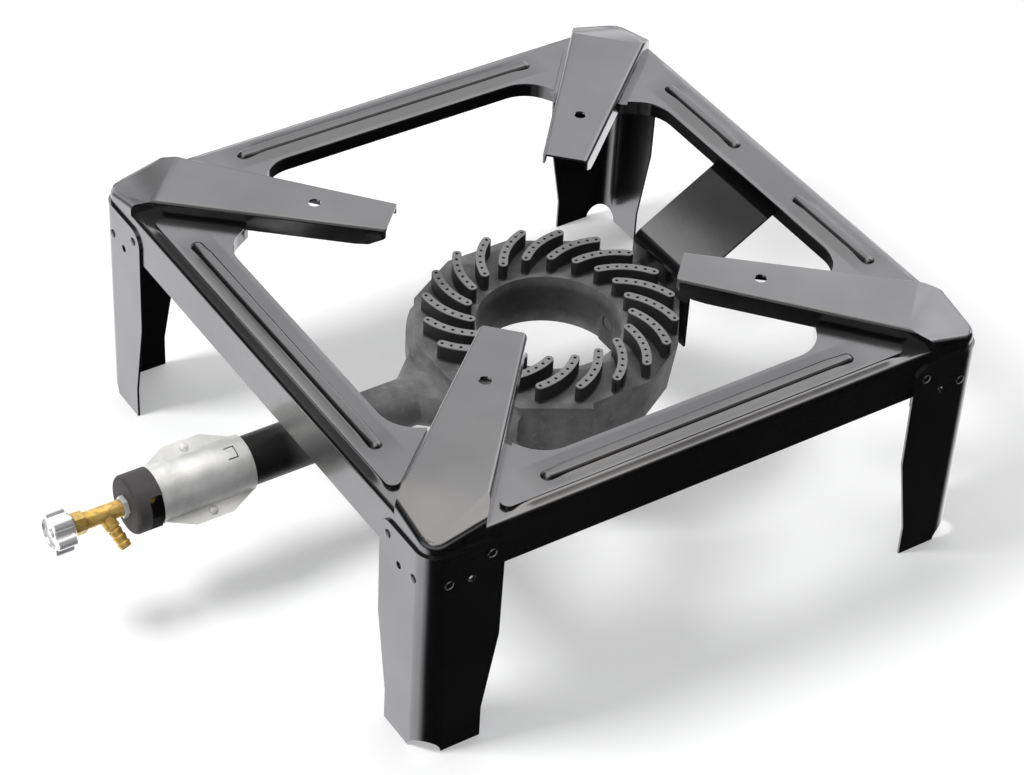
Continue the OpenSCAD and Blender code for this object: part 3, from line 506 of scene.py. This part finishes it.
def softened(node, name, width, segments=2, angle=28.0, smooth=40.0, reshape=None):
    """A copy of a node with edges over this angle bevelled. Reshape, if any, bends the mesh first."""
    piece = merged_copy(node, name)
    if reshape:
        shape = bmesh.new()
        shape.from_mesh(piece.data)
        reshape(shape)
        shape.to_mesh(piece.data)
        shape.free()
    bevel = piece.modifiers.new("soft edges", "BEVEL")
    bevel.width = width
    bevel.segments = segments
    bevel.limit_method = "ANGLE"
    bevel.angle_limit = math.radians(angle)
    bevel.use_clamp_overlap = True
    bpy.ops.object.modifier_apply(modifier=bevel.name)
    bpy.ops.object.shade_smooth_by_angle(angle=math.radians(smooth))
    weighted = piece.modifiers.new("flat faces stay flat", "WEIGHTED_NORMAL")
    weighted.keep_sharp = True
    weighted.weight = 90
    bpy.ops.object.modifier_apply(modifier=weighted.name)
    return piece


def fit_out(piece, finish, *nodes):
    """Gives a piece its finish and body, and lets it stand for its nodes."""
    piece.data.materials.clear()
    piece.data.materials.append(finishes[finish])
    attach(piece, node_body[nodes[0]])
    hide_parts(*nodes)
    print(f"{piece.name}: {len(piece.data.polygons)} faces")


print("nodes to draw:", len(frame["nodes"]))

# %% [markdown]
# The press doesn't leave plain steps. The ledge round the frame slopes down to the skirt, and each panel
# swells up to its bead and falls again to the opening. The rails are cut into narrow strips, whose
# points are then moved up, because the CAD solid has only a few large faces there.

# %% Sizes of the pressed rails
SHEET, LEDGE_Z, PANEL_Z, BEAD_RISE = 0.0015, 0.166, 0.1685, 0.0025
LEDGE_IN, LEDGE_OUT, LEDGE_LIFT, LEDGE_CURVE = 0.193, 0.197, 0.0019, 1.3
BEAD_MID, BEAD_HALF = 0.181, 0.0045
OUTER_SWELL, INNER_SWELL = 0.0009, 0.0012
CORNER_START, CORNER_END = 0.128, 0.146
BEAD_END_START, BEAD_END_STOP = 0.095, 0.107
GAP_START, GAP_END = 0.036, 0.048
STRIPS_ACROSS = (0.195, 0.194, 0.191, 0.189, 0.187, 0.1835, 0.1785, 0.168)
STRIPS_ALONG = (0.036, 0.040, 0.044, 0.048, 0.095, 0.099, 0.103, 0.107, 0.128, 0.134, 0.140, 0.146)
NEAR = 0.0001
print("strips across and along a rail:", len(STRIPS_ACROSS), len(STRIPS_ALONG))


# %% Cut strips and lift them
def ease(value, low, high):
    """0 below low and 1 above high, with a soft start and end between them."""
    share = min(max((value - low) / (high - low), 0.0), 1.0)
    return share * share * (3 - 2 * share)


def cut(shape, places, normal, wanted):
    """Splits the wanted faces by planes that lie at these places along the normal."""
    for place in places:
        faces = [f for f in shape.faces if wanted(f.calc_center_median())]
        edges = {e for f in faces for e in f.edges}
        points = {v for f in faces for v in f.verts}
        bmesh.ops.bisect_plane(
            shape, geom=[*points, *edges, *faces], plane_co=normal * place, plane_no=normal, dist=0.000001
        )


def swell(out, along, has_gap):
    """Lift of a panel at a distance from the frame's middle, which fades before the bead's ends."""
    if out >= BEAD_MID + BEAD_HALF:
        lift = OUTER_SWELL * ((PANEL_OUT - out) / (PANEL_OUT - BEAD_MID - BEAD_HALF)) ** 2
    elif out >= BEAD_MID:
        lift = OUTER_SWELL * (out - BEAD_MID) / BEAD_HALF
    elif out >= BEAD_MID - BEAD_HALF:
        lift = INNER_SWELL * (BEAD_MID - out) / BEAD_HALF
    else:
        lift = INNER_SWELL * (out - PANEL_IN) / (BEAD_MID - BEAD_HALF - PANEL_IN)
    lift = lift * (1 - ease(along, BEAD_END_START, BEAD_END_STOP))
    return lift * (ease(along, GAP_START, GAP_END) if has_gap else 1.0)


def lift_strips(shape):
    """Slopes the ledge and swells the panels. The back rail's bead has a gap in its middle."""
    places = [side * place for place in STRIPS_ACROSS + STRIPS_ALONG for side in (-1, 1)]
    low, high = LEDGE_Z - SHEET - 2 * NEAR, PANEL_Z + BEAD_RISE + NEAR
    for normal in (Vector((1, 0, 0)), Vector((0, 1, 0))):
        cut(shape, places, normal, lambda c: low < c.z < high)
    for point in shape.verts:
        x, y, z = point.co
        out, along = max(abs(x), abs(y)), min(abs(x), abs(y))
        on_ledge = min(abs(z - LEDGE_Z), abs(z - LEDGE_Z + SHEET)) < NEAR / 2
        on_panel = -SHEET - NEAR / 2 < z - PANEL_Z < BEAD_RISE + NEAR
        if on_ledge and LEDGE_IN - NEAR < out < LEDGE_OUT:
            share = max(out - LEDGE_IN, 0) / (LEDGE_OUT - LEDGE_IN)
            slope = LEDGE_LIFT * (1 - share ** LEDGE_CURVE)
            point.co.z += slope * (1 - ease(along, CORNER_START, CORNER_END))
        elif on_panel and PANEL_IN < out < PANEL_OUT:
            point.co.z += swell(out, along, has_gap=y > 0 and abs(y) > abs(x))


print("ledge lift, mm:", 1000 * LEDGE_LIFT)

# %% [markdown]
# At each corner the sheet's sloping top meets the skirt in a soft fold, not a crease. The fold's edges
# lie on the corner's round outline, where a steep face meets one that is nearly level.

# %% Round the folds at the corners
CORNER_CENTRE, CORNER_REACH = 0.188, 0.0118
FOLD_WIDTH, FOLD_STEPS = 0.0035, 5


def round_corners(shape):
    bends = []
    for edge in shape.edges:
        slopes = sorted(abs(face.normal.z) for face in edge.link_faces)
        reaches = [math.hypot(*(max(abs(c) - CORNER_CENTRE, 0) for c in v.co.xy)) for v in edge.verts]
        if min(reaches) > CORNER_REACH and len(slopes) == 2 and slopes[0] < 0.1 and 0.9 < slopes[1] < 0.97:
            bends.append(edge)
    bmesh.ops.bevel(
        shape,
        geom=bends,
        offset=FOLD_WIDTH,
        offset_type="OFFSET",
        segments=FOLD_STEPS,
        profile=0.5,
        affect="EDGES",
        clamp_overlap=False,
    )
    print("corner bends:", len(bends))


def press_rails(shape):
    round_corners(shape)
    lift_strips(shape)


print("fold width, mm:", 1000 * FOLD_WIDTH)

# %% [markdown]
# The ring's right side is a little slimmer than the rest, and draws in towards its foot. The lug round
# the bolt's end hardly stands out from the wall of the middle hole. The outer wall is a prism with twelve
# sides, so its points are found by how far they lie out along the nearest side's direction.

# %% Ring's right side
SLIM_FROM_DEG, SLIM_TO_DEG, WALL_REACH = -14.2, 60, 0.0822
SLIM_AT_PLATE, MORE_AT_FOOT = 0.005, 0.0045
RIGHT_OF_HOLE = 0.05
LUG_TIP_Y, LUG_ROOT_Y, LUG_HALF_WIDTH, LUG_TOP_Z = 0.0395, 0.0465, 0.0083, 0.105


def slim_ring(shape):
    start = math.radians(SLIM_FROM_DEG)
    normal = Vector((-math.sin(start), math.cos(start), 0))
    side_turns = [math.radians(a) for a in range(-60, 90, 30)]
    bmesh.ops.translate(shape, verts=shape.verts[:], vec=(0, -RING_Y, 0))
    cut(shape, [0], normal, lambda c: c.x > RIGHT_OF_HOLE and c.z < PLATE_Z + 5 * NEAR)
    for point in shape.verts:
        x, y, z = point.co
        turn = math.degrees(math.atan2(y, x))
        side_reach = max(x * math.cos(a) + y * math.sin(a) for a in side_turns)
        if SLIM_FROM_DEG - 0.2 < turn < SLIM_TO_DEG and side_reach > WALL_REACH and z < PLATE_Z + NEAR:
            inward = SLIM_AT_PLATE + MORE_AT_FOOT * (PLATE_Z - z) / RING_H
            reach = math.hypot(x, y)
            point.co.x -= inward * x / reach
            point.co.y -= inward * y / reach
        if LUG_TIP_Y < y < LUG_ROOT_Y and abs(x) < LUG_HALF_WIDTH and z < LUG_TOP_Z:
            point.co.y = LUG_ROOT_Y
    bmesh.ops.translate(shape, verts=shape.verts[:], vec=(0, RING_Y, 0))


print("slimmer at the foot, mm:", round(1000 * (SLIM_AT_PLATE + MORE_AT_FOOT), 1))

# %% [markdown]
# The frame and legs are bent from sheet, the burner is cast, and the sleeve is two thin shells. Each
# gets the edges that its making leaves, the widest on the casting and the narrowest on the shells.

# %% Frame, legs, burner and sleeve
stove_frame = softened("frame_top", "pressed_frame", 0.0006, reshape=press_rails)
fit_out(stove_frame, "enamel", "frame_top")
for corner in ("front_left", "front_right", "back_left", "back_right"):
    leg = softened("leg_" + corner, "sheet_leg_" + corner, 0.0006, segments=3)
    fit_out(leg, "enamel", "leg_" + corner)
casting = softened("burner_casting", "iron_burner", 0.0007, angle=35, reshape=slim_ring)
fit_out(casting, "iron", "burner_casting")
for half in ("upper", "lower"):
    shell = softened("air_sleeve_" + half, "sleeve_" + half, 0.0002)
    fit_out(shell, "zinc", "air_sleeve_" + half)

# %% [markdown]
# The tap, nipple and gland nut are turned brass with fine edges. The knob is a chromed casting with
# rounder lobes, so its edges are twice as wide.

# %% Tap and knob
fit_out(softened("tap_body", "brass_tap", 0.0003), "brass", "tap_body")
fit_out(softened("hose_nipple", "brass_nipple", 0.0003), "brass", "hose_nipple")
fit_out(softened("gland_nut", "brass_gland", 0.0003), "dull_brass", "gland_nut")
fit_out(softened("knob", "chrome_knob", 0.0006, segments=3), "chrome", "knob")

# %% [markdown]
# Rivets, screws, washer, jet, needle and seal are small or hidden, so the CAD solids themselves are
# shown, and only get their finish. The ring's bolt is as dark and rough as the iron round it.

# %% Small and hidden pieces
for node, finish in (
    ("leg_rivets", "enamel_rivet"),
    ("burner_bolt", "iron"),
    ("burner_washer", "zinc"),
    ("neck_screw", "zinc"),
    ("sleeve_rivets", "bright_zinc"),
    ("lock_nut", "bright_zinc"),
    ("injector", "brass"),
    ("valve_spindle", "brass"),
    ("stem_o_ring", "rubber"),
    ("knob_screw", "chrome"),
):
    material_slots = frame["nodes"][node].data.materials
    material_slots.clear()
    material_slots.append(finishes[finish])
    print(f"{node}: {finish}")

# %% Update the scene
bpy.context.view_layer.update()
